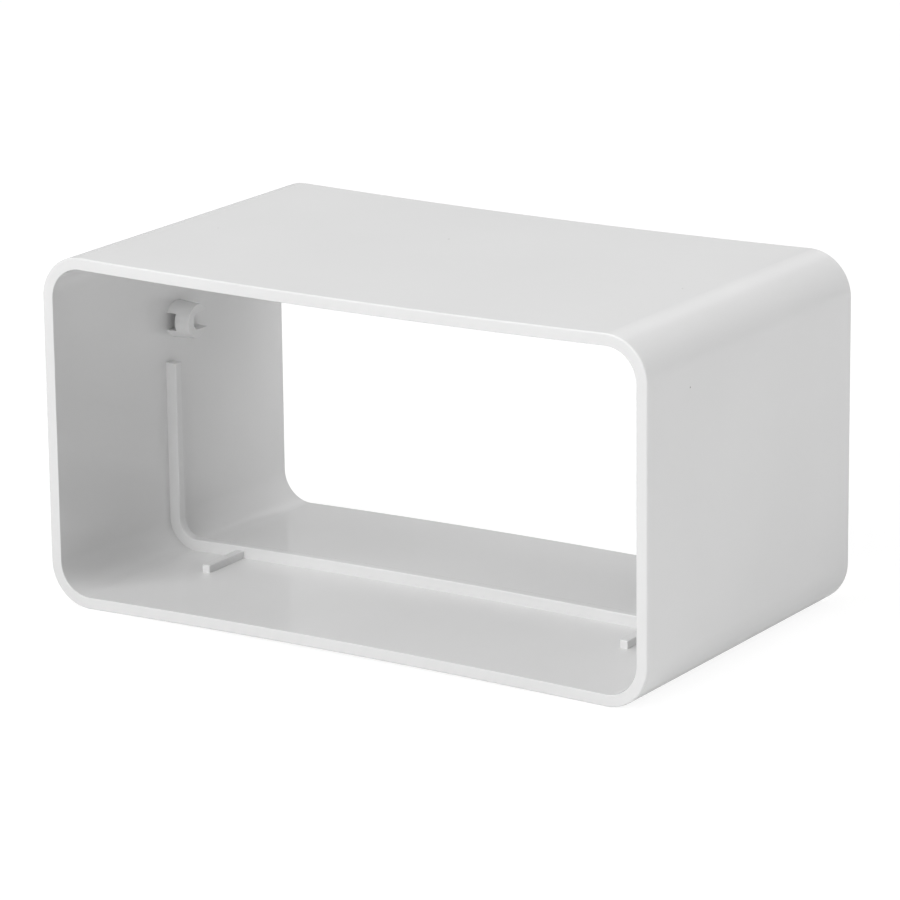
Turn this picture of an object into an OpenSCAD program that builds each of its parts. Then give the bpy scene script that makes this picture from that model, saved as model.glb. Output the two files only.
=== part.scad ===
// Straight connector for flat rectangular ventilation duct, moulded in one piece.
// A duct end slides into each mouth as far as the stop rib halfway along.
// X runs across the width, Y along the duct, and Z up from the floor it stands on.

/* [Duct it fits] */
// Outside width of the duct that slides in
duct_w = 110; // [100:1:240]
// Outside height of the duct that slides in
duct_h = 54; // [50:1:120]
// Outside corner radius of the duct
duct_corner_r = 5; // [4:0.5:12]
// Gap at each side of the duct, at the mouths
side_gap = 0.5; // [0.2:0.1:1]
// Gap above and below the duct, at the mouths
flat_gap = 1; // [0.2:0.1:1.5]

/* [Sleeve] */
// Length of the connector along the duct
sleeve_len = 66; // [50:1:120]
// Thickness of the wall at each mouth
mouth_wall = 2; // [1.4:0.1:3]
// Slope of the inner faces that lets the two cores draw out, in degrees
core_draft = 0.25; // [0.05:0.05:0.5]
// Rounding of the outer edge of each mouth
rim_round = 0.3; // [0.1:0.05:0.5]

/* [Stop rib] */
// Height of the stop rib above the inner face
rib_height = 2; // [1:0.1:2.5]
// Thickness of the stop rib along the duct
rib_thick = 1.8; // [1:0.1:3]
// Distance of the back of the rib in front of the sleeve's middle
rib_forward = 0.3; // [0:0.1:2]
// Gap between the top end of the rib and the pivot boss above it
rib_gap = 3.8; // [1:0.2:6]

/* [Floor fins] */
// Length of each fin in front of the rib
fin_len = 10; // [4:0.5:16]
// Thickness of each fin
fin_thick = 1.5; // [1:0.1:2.5]
// Height of each fin above the floor beside it
fin_height = 1.3; // [0.6:0.1:2]
// Distance of each fin from the middle of the floor
fin_out = 40.9; // [10:0.1:42]

/* [Flap pivots] */
// Diameter of each pivot boss at its free end
boss_tip_d = 5.9; // [5:0.1:6.4]
// Diameter of each pivot boss where it meets the side wall
boss_root_d = 6.5; // [6:0.1:8]
// Length of each pivot boss
boss_len = 4.4; // [3.6:0.1:8]
// Distance of the pivot centre below the ceiling of the duct
boss_drop = 16; // [15:0.2:18]
// Distance of the pivot centre behind the sleeve's middle
boss_back = 1.5; // [1:0.1:6]
// Width of the slot that a flap's pin snaps into
slot_w = 2.8; // [2:0.1:3.5]
// Depth of the slot from the free end of the boss
slot_depth = 2; // [1:0.1:2.2]
// Length of the window at the root of the boss
window_len = 1.7; // [0.6:0.1:1.8]
// Height of the window at the root of the boss
window_h = 3; // [1.5:0.1:3.4]

/* [Hidden] */
$fn = 96;

half_len = sleeve_len / 2;
// The two cores meet halfway, and the wall is thickest there.
mid_wall = mouth_wall + half_len * tan(core_draft);
sleeve_w = duct_w + 2 * (side_gap + mouth_wall);
sleeve_h = duct_h + 2 * (flat_gap + mouth_wall);
corner_r = duct_corner_r + side_gap + mouth_wall;
// Radius of the inner corners halfway along
inner_r = corner_r - mid_wall;
// Distances of the four corner centres from the middle of the sleeve
span_x = sleeve_w / 2 - corner_r;
span_z = sleeve_h / 2 - corner_r;
// How far each feature reaches into the wall it stands on
root = mouth_wall / 2;

// Places measured from the middle of the sleeve
side_x = sleeve_w / 2 - mid_wall;
floor_z = mid_wall - sleeve_h / 2;
pivot_z = sleeve_h / 2 - mid_wall - boss_drop;
rib_top_z = pivot_z - boss_root_d / 2 - rib_gap;
rib_back_y = -rib_forward;
rib_front_y = rib_back_y - rib_thick;

// Section of the wall: x is the distance out from a corner centre, y runs along the duct.
module wall_section() {
    difference() {
        polygon([
            [corner_r - mouth_wall, -half_len],
            [corner_r, -half_len],
            [corner_r, half_len],
            [corner_r - mouth_wall, half_len],
            [inner_r, 0]
        ]);
        rim_edge(half_len - rim_round, half_len);
        rim_edge(rim_round - half_len, -half_len);
    }
}

// The sharp edge that the rounding of a mouth takes off, between its centre and the end face.
module rim_edge(centre_y, end_y) {
    outward = 2 * (end_y - centre_y);
    difference() {
        polygon([
            [corner_r - rim_round, centre_y],
            [corner_r + rim_round, centre_y],
            [corner_r + rim_round, centre_y + outward],
            [corner_r - rim_round, centre_y + outward]
        ]);
        translate([corner_r - rim_round, centre_y])
            circle(rim_round);
    }
}

// Section of the stop rib, from inside the wall to its free edge.
module rib_section() {
    translate([inner_r - rib_height, rib_front_y])
        square([rib_height + root, rib_thick]);
}

// Carries a section up the right-hand wall, between two heights.
module along_side(low, high) {
    translate([span_x, 0, low])
        linear_extrude(high - low)
            children();
}

// Carries a section round the lower right-hand corner, from the side wall to the floor.
module round_corner() {
    translate([span_x, 0, -span_z])
        rotate([-90, 0, 0])
            rotate_extrude(angle = 90)
                children();
}

// Carries a section across the floor.
module along_floor() {
    rotate([0, 90, 0])
        translate([span_z, 0, -span_x])
            linear_extrude(2 * span_x)
                children();
}

// Repeats what lies on the right on the left as well.
module both_sides() {
    children();
    mirror([1, 0, 0]) children();
}

// The tube itself: two side walls, four corners and two long walls.
module tube() {
    both_sides() {
        along_side(-span_z, span_z) wall_section();
        round_corner() wall_section();
        mirror([0, 0, 1]) round_corner() wall_section();
    }
    along_floor() wall_section();
    mirror([0, 0, 1]) along_floor() wall_section();
}

// The stop: across the floor, round both lower corners and part way up both sides.
module stop_rib() {
    along_floor() rib_section();
    both_sides() {
        round_corner() rib_section();
        along_side(-span_z, rib_top_z) rib_section();
    }
}

// A short fin that runs forward from the rib and steadies it.
module floor_fin() {
    translate([fin_out - fin_thick / 2, rib_front_y - fin_len, floor_z - root])
        cube([fin_thick, fin_len + rib_thick / 2, fin_height + root]);
}

// A tapered boss on the right-hand wall, with a slot that opens backwards for a flap's pin.
module pivot_boss() {
    slope = (boss_root_d - boss_tip_d) / 2 / boss_len;
    translate([side_x, boss_back, pivot_z])
        difference() {
            translate([root, 0, 0])
                rotate([0, -90, 0])
                    cylinder(boss_len + root, r1 = boss_root_d / 2 + slope * root, r2 = boss_tip_d / 2);
            pin_slot();
            root_window();
        }
}

// The slot: round at the pivot centre, open at the free end and towards the back.
module pin_slot() {
    translate([-boss_len - slot_depth, 0, 0]) {
        rotate([0, 90, 0])
            cylinder(2 * slot_depth, d = slot_w);
        translate([0, 0, -slot_w / 2])
            cube([2 * slot_depth, boss_root_d, slot_w]);
    }
}

// The window in the front of the boss, beside the wall, as deep as the pivot centre.
module root_window() {
    translate([-window_len, -boss_root_d, -window_h / 2])
        cube([window_len, boss_root_d, window_h]);
}

module connector_sleeve() {
    color("gainsboro")
        translate([0, 0, sleeve_h / 2]) {
            tube();
            stop_rib();
            both_sides() {
                floor_fin();
                pivot_boss();
            }
        }
}

connector_sleeve();
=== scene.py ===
"""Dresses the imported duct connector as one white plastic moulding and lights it.

The connector is a straight sleeve with a stop rib, two floor fins and two
slotted pivot bosses. Its walls and rib are sections swept along paths, and its
fins and bosses are repeated on both sides, so Geometry Nodes make all four.
The moulding's classes hold millimetres. Meshes, lamps, floor and camera are in
metres, with the lens and its sensor in millimetres.
"""

import logging
import math
from dataclasses import dataclass, field
from enum import Enum
from typing import Any

import bmesh  # noqa: E402
import bpy  # noqa: E402
from mathutils import Matrix, Vector  # noqa: E402


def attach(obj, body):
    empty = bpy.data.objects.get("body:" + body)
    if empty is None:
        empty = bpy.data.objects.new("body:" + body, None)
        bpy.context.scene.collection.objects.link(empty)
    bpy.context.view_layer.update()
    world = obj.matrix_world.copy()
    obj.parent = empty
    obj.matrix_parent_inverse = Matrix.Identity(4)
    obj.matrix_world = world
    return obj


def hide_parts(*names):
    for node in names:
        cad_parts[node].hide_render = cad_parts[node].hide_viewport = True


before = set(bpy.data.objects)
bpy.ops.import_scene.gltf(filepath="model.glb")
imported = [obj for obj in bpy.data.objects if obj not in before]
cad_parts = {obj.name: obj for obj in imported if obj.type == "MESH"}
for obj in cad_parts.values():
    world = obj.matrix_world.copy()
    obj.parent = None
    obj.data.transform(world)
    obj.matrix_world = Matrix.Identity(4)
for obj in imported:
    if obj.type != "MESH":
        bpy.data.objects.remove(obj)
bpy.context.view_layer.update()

LOG = logging.getLogger("connector")
MM = 0.001
CAD_NODE = "connector_sleeve"
BODY = "root"
# Faces that meet at more than this stay crisp, and the steps of a rounding meet at less.
SHARP_ANGLE = math.radians(50)
# Edges of a boss that turn by more than this get a rounding.
ROUNDED_ANGLE = math.radians(40)
# Steps across the rounding of a block's edges and of a boss's edges.
BLOCK_EDGE_STEPS = 4
BOSS_EDGE_STEPS = 3
# A stretch of a curve longer than this is straight, in millimetres. The steps of arcs are shorter.
LONG_STRETCH = 3.0
# The wall's faces that lie more than this on the core's side get the core's finish.
CORE_SHARE = 0.9
# Points nearer than this to each other become one, in metres.
MERGE_DISTANCE = 1e-7
# Blender's largest weight for big faces when the shading is evened.
AREA_WEIGHT = 100


class Face(Enum):
    """Which of the mould's surfaces a face was formed by."""

    CAVITY = "cavity"
    CORE = "core"


def add_node(
    tree: bpy.types.NodeTree,
    kind: str,
    inputs: dict[str | int, Any] | None = None,
    settings: dict[str, Any] | None = None,
) -> bpy.types.Node:
    """Adds one node with its settings, values and links.

    Args:
        tree: Node tree that takes the node.
        kind: Blender's type name of the node.
        inputs: Value or output socket for each named or numbered input.
        settings: Properties of the node, set before its inputs.

    Returns:
        The new node.
    """
    node = tree.nodes.new(kind)
    for name, value in (settings or {}).items():
        setattr(node, name, value)
    for name, value in (inputs or {}).items():
        socket = node.inputs[name]
        if isinstance(value, bpy.types.NodeSocket):
            tree.links.new(value, socket)
        else:
            socket.default_value = value
    return node


def maths(tree: bpy.types.NodeTree, operation: str, *values: Any) -> bpy.types.NodeSocket:
    """Adds one sum to a tree.

    Args:
        tree: Node tree that takes the sum.
        operation: Operation of the Math node.
        *values: Numbers or output sockets.

    Returns:
        The socket that holds the result.
    """
    node = add_node(tree, "ShaderNodeMath", dict(enumerate(values)), {"operation": operation})
    return node.outputs[0]


def negative(tree: bpy.types.NodeTree, value: Any) -> bpy.types.NodeSocket:
    """Turns the sign of a value round.

    Args:
        tree: Node tree that takes the sum.
        value: Number or output socket.

    Returns:
        The socket that holds minus the value.
    """
    return maths(tree, "MULTIPLY", value, -1.0)


def vector(
    tree: bpy.types.NodeTree, x: Any = 0.0, y: Any = 0.0, z: Any = 0.0
) -> bpy.types.NodeSocket:
    """Puts three values together as a vector.

    Args:
        tree: Node tree that takes the node.
        x: Number or output socket for X.
        y: Number or output socket for Y.
        z: Number or output socket for Z.

    Returns:
        The socket that holds the vector.
    """
    return add_node(tree, "ShaderNodeCombineXYZ", {"X": x, "Y": y, "Z": z}).outputs[0]


def soft_noise(
    tree: bpy.types.NodeTree, place: bpy.types.NodeSocket, size_mm: float, detail: float
) -> bpy.types.NodeSocket:
    """Adds a soft random pattern to a material.

    Args:
        tree: Node tree of the material.
        place: Object coordinates.
        size_mm: Size of the pattern's clouds.
        detail: Number of finer patterns laid over it.

    Returns:
        The socket that holds the pattern, from 0 to 1.
    """
    noise = add_node(
        tree, "ShaderNodeTexNoise", {"Vector": place, "Scale": 1 / (size_mm * MM), "Detail": detail}
    )
    return noise.outputs["Fac"]


def linear(hex_colour: str) -> tuple[float, float, float, float]:
    """Turns an sRGB colour into the linear one that Blender's sockets take.

    Args:
        hex_colour: Colour as "#rrggbb".

    Returns:
        Linear red, green, blue and an alpha of 1.
    """
    parts = [int(hex_colour[i : i + 2], 16) / 255 for i in (1, 3, 5)]
    low = [c / 12.92 if c <= 0.04045 else ((c + 0.055) / 1.055) ** 2.4 for c in parts]
    return (low[0], low[1], low[2], 1.0)


class TreeInputs:
    """A Geometry Nodes tree with named inputs, and the values that they take."""

    def __init__(self, name: str) -> None:
        """Starts an empty tree.

        Args:
            name: Name of the tree.
        """
        self.tree = bpy.data.node_groups.new(name, "GeometryNodeTree")
        self.group = self.tree.nodes.new("NodeGroupInput")
        self.values: dict[str, Any] = {}
        self._socket("Geometry", "NodeSocketGeometry", "INPUT")
        self._socket("Geometry", "NodeSocketGeometry", "OUTPUT")

    def _socket(self, name: str, kind: str, side: str) -> str:
        """Adds a socket to the tree's interface.

        Args:
            name: Name of the socket.
            kind: Blender's type name of the socket.
            side: "INPUT" or "OUTPUT".

        Returns:
            The socket's identifier.
        """
        item = self.tree.interface.new_socket(name=name, in_out=side, socket_type=kind)
        return item.identifier

    def _input(self, name: str, kind: str, value: Any) -> bpy.types.NodeSocket:
        """Adds an input and keeps its value for the run.

        Args:
            name: Name of the input.
            kind: Blender's type name of the socket.
            value: Value that it takes.

        Returns:
            The socket inside the tree.
        """
        self.values[self._socket(name, kind, "INPUT")] = value
        return self.group.outputs[name]

    def length(self, name: str, millimetres: float) -> bpy.types.NodeSocket:
        """Adds an input for a length.

        Args:
            name: Name of the input.
            millimetres: Value that it takes.

        Returns:
            The socket inside the tree, in metres.
        """
        return self._input(name, "NodeSocketFloat", millimetres * MM)

    def number(self, name: str, value: float) -> bpy.types.NodeSocket:
        """Adds an input for a plain number.

        Args:
            name: Name of the input.
            value: Value that it takes.

        Returns:
            The socket inside the tree.
        """
        return self._input(name, "NodeSocketFloat", value)

    def count(self, name: str, value: int) -> bpy.types.NodeSocket:
        """Adds an input for a whole number.

        Args:
            name: Name of the input.
            value: Value that it takes.

        Returns:
            The socket inside the tree.
        """
        return self._input(name, "NodeSocketInt", value)

    def material(self, name: str, value: bpy.types.Material) -> bpy.types.NodeSocket:
        """Adds an input for a material.

        Args:
            name: Name of the input.
            value: Material that it takes.

        Returns:
            The socket inside the tree.
        """
        return self._input(name, "NodeSocketMaterial", value)

    def run(
        self, result: bpy.types.NodeSocket, start: bpy.types.Mesh | None = None
    ) -> bpy.types.Mesh:
        """Ends the tree in Realize Instances and evaluates it.

        Args:
            result: Socket that holds the finished geometry.
            start: Mesh that the tree starts from, if it needs one.

        Returns:
            A plain mesh.
        """
        real = add_node(self.tree, "GeometryNodeRealizeInstances", {"Geometry": result})
        add_node(self.tree, "NodeGroupOutput", {"Geometry": real.outputs["Geometry"]})
        mesh = start or bpy.data.meshes.new(self.tree.name)
        carrier = bpy.data.objects.new(self.tree.name, mesh)
        bpy.context.scene.collection.objects.link(carrier)
        modifier = carrier.modifiers.new(self.tree.name, "NODES")
        modifier.node_group = self.tree
        for identifier, value in self.values.items():
            modifier[identifier] = value
        graph = bpy.context.evaluated_depsgraph_get()
        made = bpy.data.meshes.new_from_object(carrier.evaluated_get(graph), depsgraph=graph)
        bpy.data.objects.remove(carrier)
        return made


@dataclass(frozen=True)
class MouldedPlastic:
    """White ABS from an injection mould.

    A polished steel core leaves the inside glossy, and the draw-polished cavity
    leaves the outside a little softer.
    """

    name: str
    face: Face
    colour: str = "#ebebeb"
    shade: str = "#e4e4e4"
    cavity_roughness: float = 0.18
    core_roughness: float = 0.06
    roughness_spread: float = 0.15
    refraction: float = 1.53
    cloud_mm: float = 28.0
    cloud_detail: float = 2.0
    wipe_mm: float = 14.0
    wipe_detail: float = 3.0
    ripple_mm: float = 3.0
    ripple_detail: float = 1.0
    ripple_height_mm: float = 0.004
    speck: str = "#8f8c86"
    speck_cell_mm: float = 11.0
    speck_radius_mm: float = 0.16
    speck_share: float = 0.5
    speck_strength: float = 0.7

    def build(self) -> bpy.types.Material:
        """Builds the procedural material.

        Returns:
            The material, on Object coordinates.
        """
        material = bpy.data.materials.new(self.name)
        material.use_nodes = True
        tree = material.node_tree
        tree.nodes.clear()
        place = tree.nodes.new("ShaderNodeTexCoord").outputs["Object"]
        colour = self._colour(tree, place)
        shader = add_node(
            tree,
            "ShaderNodeBsdfPrincipled",
            {
                "Base Color": colour,
                "Roughness": self._roughness(tree, place),
                "IOR": self.refraction,
                "Normal": self._ripple(tree, place),
            },
        )
        add_node(tree, "ShaderNodeOutputMaterial", {"Surface": shader.outputs[0]})
        return material

    def _colour(
        self, tree: bpy.types.NodeTree, place: bpy.types.NodeSocket
    ) -> bpy.types.NodeSocket:
        """Makes the plastic's slow change of tone, with a few specks of dust on it.

        Args:
            tree: Node tree of the material.
            place: Object coordinates.

        Returns:
            The socket that holds the colour.
        """
        cloud = soft_noise(tree, place, self.cloud_mm, self.cloud_detail)
        tone = add_node(
            tree,
            "ShaderNodeMix",
            {"Factor": cloud, 6: linear(self.colour), 7: linear(self.shade)},
            {"data_type": "RGBA"},
        )
        # A speck of up to 0.3 mm in every second cell, where the surface happens to cut it.
        cell = self.speck_cell_mm * MM
        dots = add_node(tree, "ShaderNodeTexVoronoi", {"Vector": place, "Scale": 1 / cell})
        radius = self.speck_radius_mm * MM / cell
        near = maths(tree, "LESS_THAN", dots.outputs["Distance"], radius)
        pick = add_node(tree, "ShaderNodeSeparateColor", {"Color": dots.outputs["Color"]})
        some = maths(tree, "LESS_THAN", pick.outputs[0], self.speck_share)
        speck = maths(tree, "MULTIPLY", near, some)
        mixed = add_node(
            tree,
            "ShaderNodeMix",
            {
                "Factor": maths(tree, "MULTIPLY", speck, self.speck_strength),
                6: tone.outputs[2],
                7: linear(self.speck),
            },
            {"data_type": "RGBA"},
        )
        return mixed.outputs[2]

    def _roughness(
        self, tree: bpy.types.NodeTree, place: bpy.types.NodeSocket
    ) -> bpy.types.NodeSocket:
        """Makes the polish vary a little, as wiping and handling leave it.

        Both finishes stay under a roughness of 0.27. The denoiser takes anything
        over it as matt, and would draw an edge where a surface crosses it.

        Args:
            tree: Node tree of the material.
            place: Object coordinates.

        Returns:
            The socket that holds the roughness.
        """
        middle = self.core_roughness if self.face is Face.CORE else self.cavity_roughness
        wipe = soft_noise(tree, place, self.wipe_mm, self.wipe_detail)
        spread = add_node(
            tree,
            "ShaderNodeMapRange",
            {
                "Value": wipe,
                "From Min": 0.0,
                "From Max": 1.0,
                "To Min": middle * (1 - self.roughness_spread),
                "To Max": middle * (1 + self.roughness_spread),
            },
        )
        return spread.outputs["Result"]

    def _ripple(
        self, tree: bpy.types.NodeTree, place: bpy.types.NodeSocket
    ) -> bpy.types.NodeSocket:
        """Makes the shallow ripple that shrinkage leaves on a flat moulded wall.

        Args:
            tree: Node tree of the material.
            place: Object coordinates.

        Returns:
            The socket that holds the rippled normal.
        """
        wave = soft_noise(tree, place, self.ripple_mm, self.ripple_detail)
        bump = add_node(
            tree,
            "ShaderNodeBump",
            {"Height": wave, "Distance": self.ripple_height_mm * MM, "Strength": 1.0},
        )
        return bump.outputs["Normal"]


@dataclass
class SleeveWalls:
    """The four walls and four corners, open at both mouths."""

    outside: bpy.types.Material
    inside: bpy.types.Material
    width: float = 115.0
    height: float = 60.0
    length: float = 66.0
    corner_radius: float = 7.5
    wall: float = 2.0
    draft_degrees: float = 0.25
    rim_round: float = 0.3
    inner_edge_round: float = 0.12
    sag: float = 0.6
    rim_steps: int = 5
    corner_steps: int = 20
    long_wall_cuts: int = 39
    lengthwise_cuts: int = 7

    @property
    def middle_wall(self) -> float:
        """Thickness of the wall halfway along, where the two cores met."""
        return self.wall + self.length / 2 * math.tan(math.radians(self.draft_degrees))

    @property
    def inner_radius(self) -> float:
        """Inner corner radius halfway along."""
        return self.corner_radius - self.middle_wall

    @property
    def side_face(self) -> float:
        """Distance of a side wall's inner face from the middle."""
        return self.width / 2 - self.middle_wall

    @property
    def floor_face(self) -> float:
        """Distance of the floor's inner face from the middle."""
        return self.height / 2 - self.middle_wall

    @property
    def half_span(self) -> float:
        """Distance of a corner's centre from the middle, across the width."""
        return self.width / 2 - self.corner_radius

    def build(self) -> bpy.types.Mesh:
        """Sweeps the wall's section once round the rounded rectangle.

        Returns:
            The closed wall, with the two finishes on its two sides.
        """
        tree = TreeInputs("sleeve_walls")
        wall = tree.length("Wall", self.wall)
        length = tree.length("Length", self.length)
        ring = add_node(
            tree.tree,
            "GeometryNodeCurvePrimitiveQuadrilateral",
            {
                "Width": tree.length("Width", self.width),
                "Height": tree.length("Height", self.height),
            },
        )
        path = rounded_path(
            tree,
            ring.outputs[0],
            tree.length("Corner radius", self.corner_radius),
            self.corner_steps,
            self.long_wall_cuts,
        )
        section = self._section(tree, wall, length)
        swept = add_node(
            tree.tree, "GeometryNodeCurveToMesh", {"Curve": path, "Profile Curve": section}
        )
        shaped = stand_and_sag(tree, swept.outputs[0], self)
        skin = add_node(
            tree.tree,
            "GeometryNodeInputNamedAttribute",
            {"Name": "core_side"},
            {"data_type": "FLOAT"},
        )
        core = maths(tree.tree, "GREATER_THAN", skin.outputs["Attribute"], CORE_SHARE)
        outer = dress(tree, shaped, "Outside", self.outside)
        return tree.run(dress(tree, outer, "Inside", self.inside, core))

    def _section(
        self, tree: TreeInputs, wall: bpy.types.NodeSocket, length: bpy.types.NodeSocket
    ) -> bpy.types.NodeSocket:
        """Draws the wall's section: outer face at x 0, mouths at half the length.

        Args:
            tree: Tree of the walls.
            wall: Thickness at the mouths.
            length: Length along the duct.

        Returns:
            The closed section curve.
        """
        nodes = tree.tree
        half = maths(nodes, "MULTIPLY", length, 0.5)
        back = negative(nodes, half)
        inner_x = negative(nodes, wall)
        outline = quadrilateral(
            nodes, [(inner_x, back), (0.0, back), (0.0, half), (inner_x, half)]
        )
        here = place_parts(nodes)
        is_core = maths(nodes, "LESS_THAN", here["X"], maths(nodes, "MULTIPLY", wall, -0.5))
        outer_edge = tree.length("Rim rounding", self.rim_round)
        inner_edge = tree.length("Inner edge rounding", self.inner_edge_round)
        radius = add_node(
            nodes,
            "ShaderNodeMix",
            {"Factor": is_core, "A": outer_edge, "B": inner_edge},
            {"data_type": "FLOAT"},
        )
        rounded = add_node(
            nodes,
            "GeometryNodeFilletCurve",
            {"Curve": outline, "Radius": radius.outputs[0], "Count": self.rim_steps},
            {"mode": "POLY"},
        )
        cut = cut_long_segments(tree, rounded.outputs[0], self.lengthwise_cuts)
        marked = add_node(
            nodes,
            "GeometryNodeStoreNamedAttribute",
            {"Geometry": cut, "Name": "core_side", "Value": is_core},
            {"data_type": "FLOAT", "domain": "POINT"},
        )
        inside = maths(nodes, "SUBTRACT", half, maths(nodes, "ABSOLUTE", here["Y"]))
        slope = tree.number("Draft", math.tan(math.radians(self.draft_degrees)))
        thicker = maths(nodes, "MULTIPLY", inside, slope)
        drafted = add_node(
            nodes,
            "GeometryNodeSetPosition",
            {
                "Geometry": marked.outputs[0],
                "Selection": is_core,
                "Offset": vector(nodes, x=negative(nodes, thicker)),
            },
        )
        return drafted.outputs[0]


@dataclass
class StopRib:
    """The rib that stops the two ducts: across the floor and part way up both sides."""

    walls: SleeveWalls
    finish: bpy.types.Material
    height: float = 2.0
    thick: float = 1.8
    forward: float = 0.3
    top: float = 34.806
    root: float = 1.0
    edge_round: float = 0.22
    edge_steps: int = 4
    corner_steps: int = 16
    cuts: int = 39

    def build(self) -> bpy.types.Mesh:
        """Sweeps the rib's section along its path on the inner faces.

        Returns:
            The rib, closed at both top ends.
        """
        tree = TreeInputs("stop_rib")
        nodes = tree.tree
        side = tree.length("Side face", self.walls.side_face)
        floor = tree.length("Floor face", -self.walls.floor_face)
        top = tree.length("Top end", self.top - self.walls.height / 2)
        left = negative(nodes, side)
        line = open_polyline(tree, [(left, top), (left, floor), (side, floor), (side, top)])
        path = rounded_path(
            tree,
            line,
            tree.length("Corner radius", self.walls.inner_radius),
            self.corner_steps,
            self.cuts,
        )
        free = negative(nodes, tree.length("Height", self.height))
        root = tree.length("Root", self.root)
        back = negative(nodes, tree.length("Forward", self.forward))
        front = maths(nodes, "SUBTRACT", back, tree.length("Thickness", self.thick))
        section = add_node(
            nodes,
            "GeometryNodeFilletCurve",
            {
                "Curve": quadrilateral(
                    nodes, [(free, front), (root, front), (root, back), (free, back)]
                ),
                "Radius": tree.length("Edge rounding", self.edge_round),
                "Count": self.edge_steps,
            },
            {"mode": "POLY"},
        )
        swept = add_node(
            nodes,
            "GeometryNodeCurveToMesh",
            {"Curve": path, "Profile Curve": section.outputs[0], "Fill Caps": True},
        )
        shaped = stand_and_sag(tree, swept.outputs[0], self.walls)
        return tree.run(dress(tree, shaped, "Finish", self.finish))


@dataclass
class FloorFins:
    """Two short fins on the floor that steady the rib from the front."""

    walls: SleeveWalls
    rib: StopRib
    finish: bpy.types.Material
    length: float = 10.0
    thick: float = 1.5
    height: float = 1.3
    out: float = 40.9
    root: float = 1.0
    edge_round: float = 0.16

    def build(self) -> bpy.types.Mesh:
        """Makes one fin and repeats it at both sides of the floor.

        Returns:
            Both fins.
        """
        reach = self.length + self.rib.thick / 2
        front = -self.rib.forward - self.rib.thick - self.length
        tall = self.height + self.root
        middle = Vector((0.0, front + reach / 2, self.walls.middle_wall - self.root + tall / 2))
        fin = rounded_block((self.thick, reach, tall), middle, self.edge_round)
        return repeat_on_sides("floor_fins", fin, self.out, False, self.finish, self.walls)


@dataclass
class PivotBosses:
    """Two slotted bosses on the side walls that hold a flap's pins."""

    walls: SleeveWalls
    finish: bpy.types.Material
    tip_diameter: float = 5.9
    root_diameter: float = 6.5
    length: float = 4.4
    drop: float = 16.0
    back: float = 1.5
    root: float = 1.0
    slot_width: float = 2.8
    slot_depth: float = 2.0
    window_length: float = 1.7
    window_height: float = 3.0
    edge_round: float = 0.14
    turn_steps: int = 72
    slot_steps: int = 48

    def build(self) -> bpy.types.Mesh:
        """Turns one boss, cuts its slot and window, and repeats it on both side walls.

        Returns:
            Both bosses.
        """
        height = self.walls.height - self.walls.middle_wall - self.drop
        boss = self._turned()
        cut_away(boss, self._slot())
        cut_away(boss, self._window())
        round_edges(boss, self.edge_round)
        boss.data.transform(Matrix.Translation(Vector((0, self.back * MM, height * MM))))
        mesh = boss.data
        bpy.data.objects.remove(boss)
        return repeat_on_sides(
            "pivot_bosses", mesh, self.walls.side_face, True, self.finish, self.walls
        )

    def _turned(self) -> bpy.types.Object:
        """Turns the tapered boss about its own axis, free end towards -X.

        Returns:
            The boss, still without its slot and window.
        """
        slope = (self.root_diameter - self.tip_diameter) / 2 / self.length
        work = bmesh.new()
        bmesh.ops.create_cone(
            work,
            cap_ends=True,
            segments=self.turn_steps,
            radius1=(self.root_diameter / 2 + slope * self.root) * MM,
            radius2=self.tip_diameter / 2 * MM,
            depth=(self.length + self.root) * MM,
        )
        turn = Matrix.Rotation(-math.pi / 2, 4, "Y")
        shift = Matrix.Translation(Vector(((self.root - self.length) / 2 * MM, 0, 0)))
        bmesh.ops.transform(work, matrix=shift @ turn, verts=work.verts)
        return as_object(work, "boss")

    def _slot(self) -> bpy.types.Object:
        """Makes the slot's shape: round at the pivot, open at the free end and the back.

        Returns:
            The shape that is cut away.
        """
        work = bmesh.new()
        deep = 2 * self.slot_depth
        bmesh.ops.create_cone(
            work,
            cap_ends=True,
            segments=self.slot_steps,
            radius1=self.slot_width / 2 * MM,
            radius2=self.slot_width / 2 * MM,
            depth=deep * MM,
        )
        bmesh.ops.transform(work, matrix=Matrix.Rotation(-math.pi / 2, 4, "Y"), verts=work.verts)
        # The half behind the pivot is stretched out past the back of the boss.
        behind = 0.01 * MM
        for vertex in work.verts:
            if vertex.co.y > behind:
                vertex.co.y += self.root_diameter * MM
        shift = Matrix.Translation(Vector((-self.length * MM, 0, 0)))
        bmesh.ops.transform(work, matrix=shift, verts=work.verts)
        return as_object(work, "slot")

    def _window(self) -> bpy.types.Object:
        """Makes the window's shape, beside the wall and as deep as the pivot.

        Returns:
            The shape that is cut away.
        """
        middle = Vector((-self.window_length / 2, -self.root_diameter / 2, 0))
        size = (self.window_length, self.root_diameter, self.window_height)
        return bpy.data.objects.new("window", rounded_block(size, middle, 0.0))


def place_parts(tree: bpy.types.NodeTree) -> bpy.types.bpy_prop_collection:
    """Takes apart the place of each point of a geometry.

    Args:
        tree: Geometry Nodes tree.

    Returns:
        The sockets "X", "Y" and "Z".
    """
    place = add_node(tree, "GeometryNodeInputPosition").outputs[0]
    return add_node(tree, "ShaderNodeSeparateXYZ", {"Vector": place}).outputs


def quadrilateral(
    tree: bpy.types.NodeTree, corners: list[tuple[Any, Any]]
) -> bpy.types.NodeSocket:
    """Draws a closed line through four points.

    Args:
        tree: Geometry Nodes tree.
        corners: The x and y of each point, as numbers or sockets.

    Returns:
        The closed line.
    """
    points = {f"Point {i}": vector(tree, x, y) for i, (x, y) in enumerate(corners, 1)}
    line = add_node(tree, "GeometryNodeCurvePrimitiveQuadrilateral", points, {"mode": "POINTS"})
    return line.outputs[0]


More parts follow.
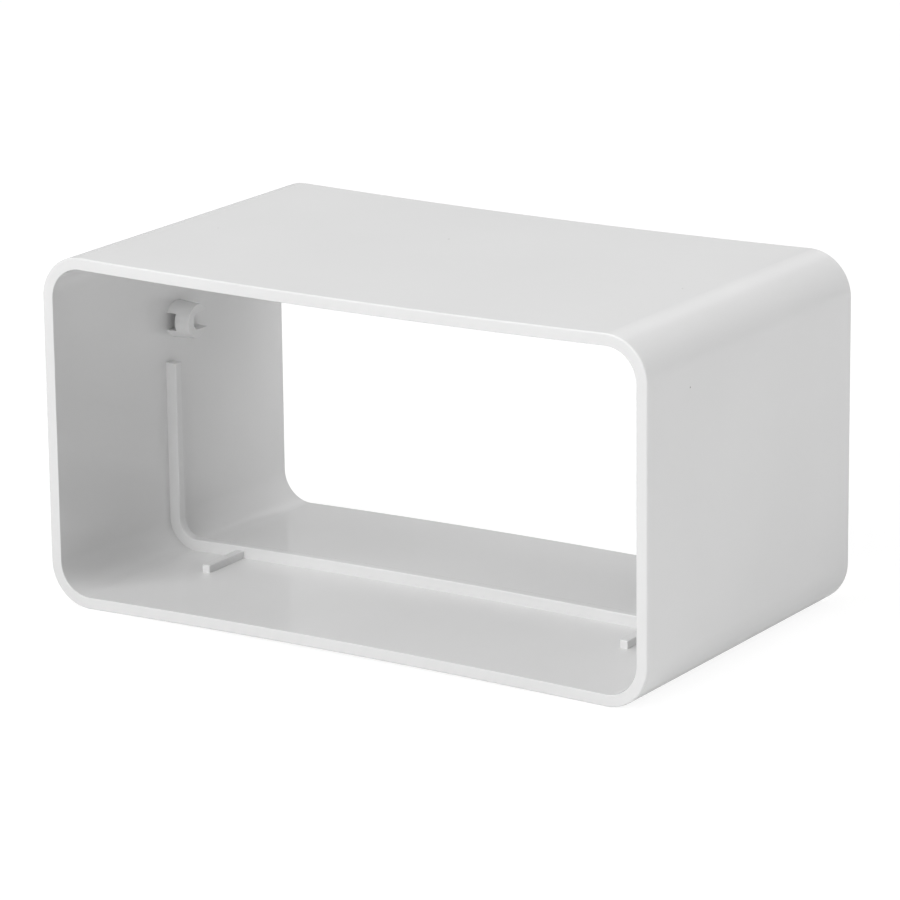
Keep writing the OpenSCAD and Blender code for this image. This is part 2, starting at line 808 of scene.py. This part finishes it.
def dress(
    tree: TreeInputs,
    geometry: bpy.types.NodeSocket,
    name: str,
    finish: bpy.types.Material,
    faces: bpy.types.NodeSocket | None = None,
) -> bpy.types.NodeSocket:
    """Gives a geometry its finish.

    Args:
        tree: Tree that holds the geometry.
        geometry: Mesh that is dressed.
        name: Name of the tree's input for the finish.
        finish: The material.
        faces: Field that picks the faces, or None for all of them.

    Returns:
        The dressed geometry.
    """
    chosen = {} if faces is None else {"Selection": faces}
    dressed = add_node(
        tree.tree,
        "GeometryNodeSetMaterial",
        {"Geometry": geometry, "Material": tree.material(name, finish), **chosen},
    )
    return dressed.outputs[0]


def cut_long_segments(
    tree: TreeInputs, curve: bpy.types.NodeSocket, cuts: int
) -> bpy.types.NodeSocket:
    """Divides the straight stretches of a curve and leaves its arcs alone.

    Args:
        tree: Tree that holds the curve.
        curve: Curve of straight stretches and arcs.
        cuts: New points on each straight stretch.

    Returns:
        The divided curve.
    """
    nodes = tree.tree
    here = add_node(nodes, "GeometryNodeInputPosition").outputs[0]
    step = add_node(nodes, "GeometryNodeOffsetPointInCurve", {"Offset": 1})
    there = add_node(
        nodes,
        "GeometryNodeFieldAtIndex",
        {"Value": here, "Index": step.outputs["Point Index"]},
        {"data_type": "FLOAT_VECTOR", "domain": "POINT"},
    )
    gap = add_node(
        nodes, "ShaderNodeVectorMath", {0: here, 1: there.outputs[0]}, {"operation": "DISTANCE"}
    )
    is_long = maths(nodes, "GREATER_THAN", gap.outputs["Value"], LONG_STRETCH * MM)
    number = maths(nodes, "MULTIPLY", is_long, float(cuts))
    cut = add_node(nodes, "GeometryNodeSubdivideCurve", {"Curve": curve, "Cuts": number})
    return cut.outputs[0]


def rounded_path(
    tree: TreeInputs,
    line: bpy.types.NodeSocket,
    radius: bpy.types.NodeSocket,
    steps: int,
    cuts: int,
) -> bpy.types.NodeSocket:
    """Rounds the corners of a path and divides its straight stretches.

    Args:
        tree: Tree that holds the path.
        line: The path with sharp corners, anticlockwise.
        radius: Radius of its corners.
        steps: Points in each rounded corner.
        cuts: Points added to each straight stretch.

    Returns:
        The finished path.
    """
    rounded = add_node(
        tree.tree,
        "GeometryNodeFilletCurve",
        {"Curve": line, "Radius": radius, "Count": tree.count("Corner steps", steps)},
        {"mode": "POLY"},
    )
    return cut_long_segments(tree, rounded.outputs[0], cuts)


def open_polyline(tree: TreeInputs, corners: list[tuple[Any, Any]]) -> bpy.types.NodeSocket:
    """Draws an open line through four points.

    Args:
        tree: Tree that takes the line.
        corners: The x and y of each point, as numbers or sockets.

    Returns:
        The open line.
    """
    closed = quadrilateral(tree.tree, corners)
    opened = add_node(
        tree.tree, "GeometryNodeSetSplineCyclic", {"Geometry": closed, "Cyclic": False}
    )
    return opened.outputs[0]


def sag_long_walls(
    tree: TreeInputs, geometry: bpy.types.NodeSocket, walls: SleeveWalls
) -> bpy.types.NodeSocket:
    """Bows both long walls inwards, most halfway across, and all that stands on them.

    Args:
        tree: Tree that holds the geometry.
        geometry: Mesh in its final place.
        walls: The sleeve's sizes.

    Returns:
        The bowed geometry.
    """
    nodes = tree.tree
    here = place_parts(nodes)
    share = maths(nodes, "DIVIDE", here["X"], tree.length("Half span", walls.half_span))
    fall = maths(nodes, "SUBTRACT", 1.0, maths(nodes, "MULTIPLY", share, share))
    above = maths(nodes, "SUBTRACT", here["Z"], tree.length("Middle", walls.height / 2))
    inwards = negative(nodes, maths(nodes, "SIGN", above))
    amount = maths(nodes, "MULTIPLY", maths(nodes, "MAXIMUM", fall, 0.0), inwards)
    drop = maths(nodes, "MULTIPLY", amount, tree.length("Sag", walls.sag))
    moved = add_node(
        nodes,
        "GeometryNodeSetPosition",
        {"Geometry": geometry, "Offset": vector(nodes, z=drop)},
    )
    return moved.outputs[0]


def stand_and_sag(
    tree: TreeInputs, swept: bpy.types.NodeSocket, walls: SleeveWalls
) -> bpy.types.NodeSocket:
    """Stands a swept mesh up on the floor and bows the long walls.

    Args:
        tree: Tree that holds the mesh.
        swept: Mesh swept along a path in the XY plane.
        walls: The sleeve's sizes.

    Returns:
        The mesh in its final place.
    """
    lift = vector(tree.tree, z=tree.length("Lift", walls.height / 2))
    stood = add_node(
        tree.tree,
        "GeometryNodeTransform",
        {"Geometry": swept, "Rotation": (math.pi / 2, 0.0, 0.0), "Translation": lift},
    )
    return sag_long_walls(tree, stood.outputs[0], walls)


def repeat_on_sides(
    name: str,
    shape: bpy.types.Mesh,
    out: float,
    turned: bool,
    finish: bpy.types.Material,
    walls: SleeveWalls,
) -> bpy.types.Mesh:
    """Repeats a small moulded shape on the right and on the left.

    Args:
        name: Name of the tree.
        shape: The shape for the right-hand side, at x 0.
        out: Distance of each copy from the middle, in millimetres.
        turned: Whether the left copy is turned half a turn about the duct's axis.
        finish: Material of both copies.
        walls: The sleeve's sizes.

    Returns:
        Both copies, bowed with the wall that they stand on.
    """
    tree = TreeInputs(name)
    nodes = tree.tree
    reach = tree.length("Distance out", out)
    raised = tree.length("Turning height", turn_height(shape) if turned else 0.0)
    row = add_node(
        nodes,
        "GeometryNodeMeshLine",
        {
            "Count": 2,
            "Start Location": vector(nodes, x=negative(nodes, reach), z=raised),
            "Offset": vector(nodes, x=maths(nodes, "MULTIPLY", reach, 2.0)),
        },
        {"mode": "OFFSET"},
    )
    order = add_node(nodes, "GeometryNodeInputIndex").outputs[0]
    left = maths(nodes, "SUBTRACT", 1.0, order)
    angle = maths(nodes, "MULTIPLY", left, math.pi if turned else 0.0)
    centred = add_node(
        nodes,
        "GeometryNodeTransform",
        {
            "Geometry": tree.group.outputs["Geometry"],
            "Translation": vector(nodes, z=negative(nodes, raised)),
        },
    )
    copies = add_node(
        nodes,
        "GeometryNodeInstanceOnPoints",
        {
            "Points": row.outputs[0],
            "Instance": centred.outputs[0],
            "Rotation": vector(nodes, y=angle),
        },
    )
    real = add_node(nodes, "GeometryNodeRealizeInstances", {"Geometry": copies.outputs[0]})
    bowed = sag_long_walls(tree, real.outputs[0], walls)
    return tree.run(dress(tree, bowed, "Finish", finish), shape)


def turn_height(shape: bpy.types.Mesh) -> float:
    """Finds the height about which a shape is turned.

    Args:
        shape: The shape, in metres.

    Returns:
        Height of its middle, in millimetres.
    """
    heights = [vertex.co.z for vertex in shape.vertices]
    return (min(heights) + max(heights)) / 2 / MM


def as_mesh(work: bmesh.types.BMesh, name: str) -> bpy.types.Mesh:
    """Turns a bmesh into a mesh whose faces all look outwards.

    Args:
        work: The bmesh, which is freed.
        name: Name of the mesh.

    Returns:
        The mesh.
    """
    mesh = bpy.data.meshes.new(name)
    bmesh.ops.recalc_face_normals(work, faces=work.faces)
    work.to_mesh(mesh)
    work.free()
    return mesh


def as_object(work: bmesh.types.BMesh, name: str) -> bpy.types.Object:
    """Turns a bmesh into an object that isn't in the scene yet.

    Args:
        work: The bmesh, which is freed.
        name: Name of the object.

    Returns:
        The object.
    """
    return bpy.data.objects.new(name, as_mesh(work, name))


def rounded_block(
    size: tuple[float, float, float], middle: Vector, edge: float
) -> bpy.types.Mesh:
    """Makes a block with rounded edges.

    Args:
        size: Its three sizes in millimetres.
        middle: Its middle in millimetres.
        edge: Radius of its edges in millimetres, or 0.

    Returns:
        The block's mesh, in metres.
    """
    work = bmesh.new()
    bmesh.ops.create_cube(work, size=MM)
    scale = Matrix.Diagonal((*size, 1.0))
    bmesh.ops.transform(work, matrix=Matrix.Translation(middle * MM) @ scale, verts=work.verts)
    if edge:
        bmesh.ops.bevel(
            work,
            geom=work.edges,
            offset=edge * MM,
            segments=BLOCK_EDGE_STEPS,
            affect="EDGES",
            profile=0.5,
        )
    return as_mesh(work, "block")


def apply_modifier(target: bpy.types.Object, kind: str, settings: dict[str, Any]) -> None:
    """Applies one modifier to an object's mesh.

    Args:
        target: Object that gets the result.
        kind: Type of the modifier.
        settings: Its properties.
    """
    linked = target.name in bpy.context.scene.collection.objects
    if not linked:
        bpy.context.scene.collection.objects.link(target)
    modifier = target.modifiers.new(kind.lower(), kind)
    for name, value in settings.items():
        setattr(modifier, name, value)
    graph = bpy.context.evaluated_depsgraph_get()
    made = bpy.data.meshes.new_from_object(target.evaluated_get(graph), depsgraph=graph)
    target.modifiers.remove(modifier)
    target.data = made
    if not linked:
        bpy.context.scene.collection.objects.unlink(target)


def cut_away(target: bpy.types.Object, tool: bpy.types.Object) -> None:
    """Cuts one shape out of another.

    Args:
        target: Object that is cut.
        tool: Object that is taken away, and removed.
    """
    bpy.context.scene.collection.objects.link(tool)
    apply_modifier(
        target, "BOOLEAN", {"operation": "DIFFERENCE", "solver": "EXACT", "object": tool}
    )
    bpy.data.objects.remove(tool)


def round_edges(target: bpy.types.Object, radius: float) -> None:
    """Rounds the sharp edges of a small shape.

    Args:
        target: Object whose edges are rounded.
        radius: Radius in millimetres.
    """
    apply_modifier(
        target,
        "BEVEL",
        {
            "width": radius * MM,
            "segments": BOSS_EDGE_STEPS,
            "limit_method": "ANGLE",
            "angle_limit": ROUNDED_ANGLE,
            "use_clamp_overlap": True,
        },
    )


@dataclass
class MouldedConnector:
    """The whole connector, one moulding of walls, rib, fins and bosses."""

    cavity_finish: MouldedPlastic
    core_finish: MouldedPlastic
    parts: dict[str, bpy.types.Mesh] = field(default_factory=dict)

    def build(self) -> bpy.types.Object:
        """Builds each sub-assembly and joins them into one piece.

        Returns:
            The piece that stands for the CAD node.
        """
        outside = self.cavity_finish.build()
        inside = self.core_finish.build()
        walls = SleeveWalls(outside, inside)
        rib = StopRib(walls, inside)
        fins = FloorFins(walls, rib, inside)
        bosses = PivotBosses(walls, inside)
        for name, part in (("walls", walls), ("rib", rib), ("fins", fins), ("bosses", bosses)):
            self.parts[name] = part.build()
            LOG.info("%s: %d faces", name, len(self.parts[name].polygons))
        return self._joined((outside, inside))

    def _joined(self, finishes: tuple[bpy.types.Material, ...]) -> bpy.types.Object:
        """Joins the meshes, points their faces outwards and evens their shading.

        Args:
            finishes: The finishes of the outside and the inside.

        Returns:
            The one piece, in the scene.
        """
        work = bmesh.new()
        for mesh in self.parts.values():
            slots = [finishes.index(m) if m in finishes else 0 for m in mesh.materials]
            start = len(work.faces)
            work.from_mesh(mesh)
            work.faces.ensure_lookup_table()
            for face in work.faces[start:]:
                face.material_index = slots[face.material_index] if slots else 0
        bmesh.ops.remove_doubles(work, verts=work.verts, dist=MERGE_DISTANCE)
        bmesh.ops.recalc_face_normals(work, faces=work.faces)
        for face in work.faces:
            face.smooth = True
        for edge in work.edges:
            edge.smooth = len(edge.link_faces) == 2 and edge.calc_face_angle() < SHARP_ANGLE
        mesh = bpy.data.meshes.new("moulded_connector")
        work.to_mesh(mesh)
        work.free()
        for finish in finishes:
            mesh.materials.append(finish)
        piece = bpy.data.objects.new("moulded_connector", mesh)
        bpy.context.scene.collection.objects.link(piece)
        apply_modifier(
            piece,
            "WEIGHTED_NORMAL",
            {"mode": "FACE_AREA", "weight": AREA_WEIGHT, "keep_sharp": True},
        )
        return piece


@dataclass(frozen=True)
class SoftLamp:
    """A square soft lamp that faces the connector."""

    name: str
    azimuth: float
    elevation: float
    watts: float
    distance: float = 1.5
    size: float = 1.0
    lowest: float = 0.52

    def build(self) -> None:
        """Hangs the lamp, and lifts a low one clear of the floor."""
        place = direction(self.azimuth, self.elevation) * self.distance
        place.z = max(place.z, self.lowest)
        lamp = bpy.data.lights.new(self.name, "AREA")
        lamp.size = self.size
        lamp.energy = self.watts
        holder = bpy.data.objects.new(self.name, lamp)
        holder.location = place
        holder.rotation_euler = (-place).to_track_quat("-Z", "Y").to_euler()
        bpy.context.scene.collection.objects.link(holder)


@dataclass
class StudioStage:
    """A pale floor under soft studio light, with the background white behind it."""

    floor_colour: str = "#f7f7f7"
    floor_roughness: float = 0.5
    floor_size: float = 8.0
    floor_glow: float = 1.1
    glow_share: float = 0.8
    glow_share_in_gloss: float = 0.3
    sky_in_gloss: float = 0.7
    lamps: tuple[SoftLamp, ...] = (
        SoftLamp("key", -25.0, 42.0, 11.9),
        SoftLamp("front_low", 5.0, 10.0, 6.3),
        SoftLamp("front", 5.0, 42.0, 2.0),
        SoftLamp("right_low", 110.0, 10.0, 1.8),
        SoftLamp("right", 110.0, 42.0, 7.1),
        SoftLamp("overhead", 0.0, 88.0, 3.9),
        SoftLamp("overhead_back", 180.0, 70.0, 2.2),
        SoftLamp("back_edge", 197.0, 36.0, 0.35, size=0.6),
    )

    def build(self) -> None:
        """Lays the floor and sets the world and the lamps."""
        self._floor()
        self._world()
        for lamp in self.lamps:
            lamp.build()

    def _floor(self) -> None:
        """Lays a floor that keeps the shadow, faint and close to white for what looks at it."""
        half = self.floor_size / 2
        mesh = bpy.data.meshes.new("studio_floor")
        corners = [(-half, -half, 0), (half, -half, 0), (half, half, 0), (-half, half, 0)]
        mesh.from_pydata(corners, [], [(0, 1, 2, 3)])
        floor = bpy.data.objects.new("studio_floor", mesh)
        bpy.context.scene.collection.objects.link(floor)
        material = bpy.data.materials.new("matt_paper_sweep")
        material.use_nodes = True
        tree = material.node_tree
        tree.nodes.clear()
        paper = add_node(
            tree,
            "ShaderNodeBsdfDiffuse",
            {"Color": linear(self.floor_colour), "Roughness": self.floor_roughness},
        )
        glow = add_node(tree, "ShaderNodeEmission", {"Strength": self.floor_glow})
        share = seen(tree, self.glow_share, self.glow_share_in_gloss)
        both = add_node(
            tree, "ShaderNodeMixShader", {0: share, 1: paper.outputs[0], 2: glow.outputs[0]}
        )
        add_node(tree, "ShaderNodeOutputMaterial", {"Surface": both.outputs[0]})
        mesh.materials.append(material)

    def _world(self) -> None:
        """Sets a white background, which lights nothing but what looks at it."""
        world = bpy.data.worlds.new("studio")
        bpy.context.scene.world = world
        world.use_nodes = True
        tree = world.node_tree
        tree.nodes.clear()
        strength = seen(tree, 1.0, self.sky_in_gloss)
        sky = add_node(
            tree, "ShaderNodeBackground", {"Color": linear("#ffffff"), "Strength": strength}
        )
        add_node(tree, "ShaderNodeOutputWorld", {"Surface": sky.outputs[0]})


def direction(azimuth: float, elevation: float) -> Vector:
    """Gives the direction from the middle towards a place around the connector.

    Args:
        azimuth: Degrees round from the front, with 90 at the right.
        elevation: Degrees up from the floor.

    Returns:
        The unit vector.
    """
    a, e = math.radians(azimuth), math.radians(elevation)
    return Vector((math.sin(a) * math.cos(e), -math.cos(a) * math.cos(e), math.sin(e)))


def seen(tree: bpy.types.NodeTree, straight: float, bounced: float) -> bpy.types.NodeSocket:
    """Gives one value to rays that look at a surface, and 0 to those that light the rest.

    Args:
        tree: Shader tree that takes the nodes.
        straight: Value for the camera's own rays.
        bounced: Value for rays seen in gloss or through glass.

    Returns:
        The socket that holds the value.
    """
    path = add_node(tree, "ShaderNodeLightPath").outputs
    direct = maths(tree, "MULTIPLY", path["Is Camera Ray"], straight)
    either = maths(tree, "MAXIMUM", path["Is Glossy Ray"], path["Is Transmission Ray"])
    return maths(tree, "MAXIMUM", direct, maths(tree, "MULTIPLY", either, bounced))


@dataclass
class PhotographCamera:
    """The camera where the photograph was taken from."""

    azimuth: float = 32.70
    elevation: float = 15.50
    roll_radians: float = -0.0111
    distance: float = 0.7997
    lens: float = 193.8
    sensor_width: float = 36.0
    nearest: float = 0.01
    farthest: float = 50.0
    target: tuple[float, float, float] = (0.000534, 0.0, 0.026682)

    def build(self) -> None:
        """Places the camera and makes it the scene's own."""
        back = direction(self.azimuth, self.elevation)
        right = (-back).cross(Vector((0, 0, 1))).normalized()
        up = right.cross(-back)
        cosine, sine = math.cos(self.roll_radians), math.sin(self.roll_radians)
        side = right * cosine + up * sine
        top = up * cosine - right * sine
        place = Vector(self.target) + back * self.distance
        turn = Matrix((side, top, back)).transposed().to_4x4()
        data = bpy.data.cameras.new("photograph")
        data.lens = self.lens
        data.sensor_width = self.sensor_width
        data.clip_start = self.nearest
        data.clip_end = self.farthest
        camera = bpy.data.objects.new("photograph", data)
        camera.matrix_world = Matrix.Translation(place) @ turn
        bpy.context.scene.collection.objects.link(camera)
        bpy.context.scene.camera = camera


def main() -> None:
    """Builds the camera, the stage and the connector."""
    logging.basicConfig(level=logging.INFO, format="%(name)s %(message)s")
    bpy.context.scene.view_settings.view_transform = "Standard"
    PhotographCamera().build()
    StudioStage().build()
    connector = MouldedConnector(
        MouldedPlastic("moulded_white_abs_outside", Face.CAVITY),
        MouldedPlastic("polished_white_abs_inside", Face.CORE),
    ).build()
    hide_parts(CAD_NODE)
    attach(connector, BODY)
    LOG.info("%s: %d faces", connector.name, len(connector.data.polygons))


if __name__ == "__main__":
    main()
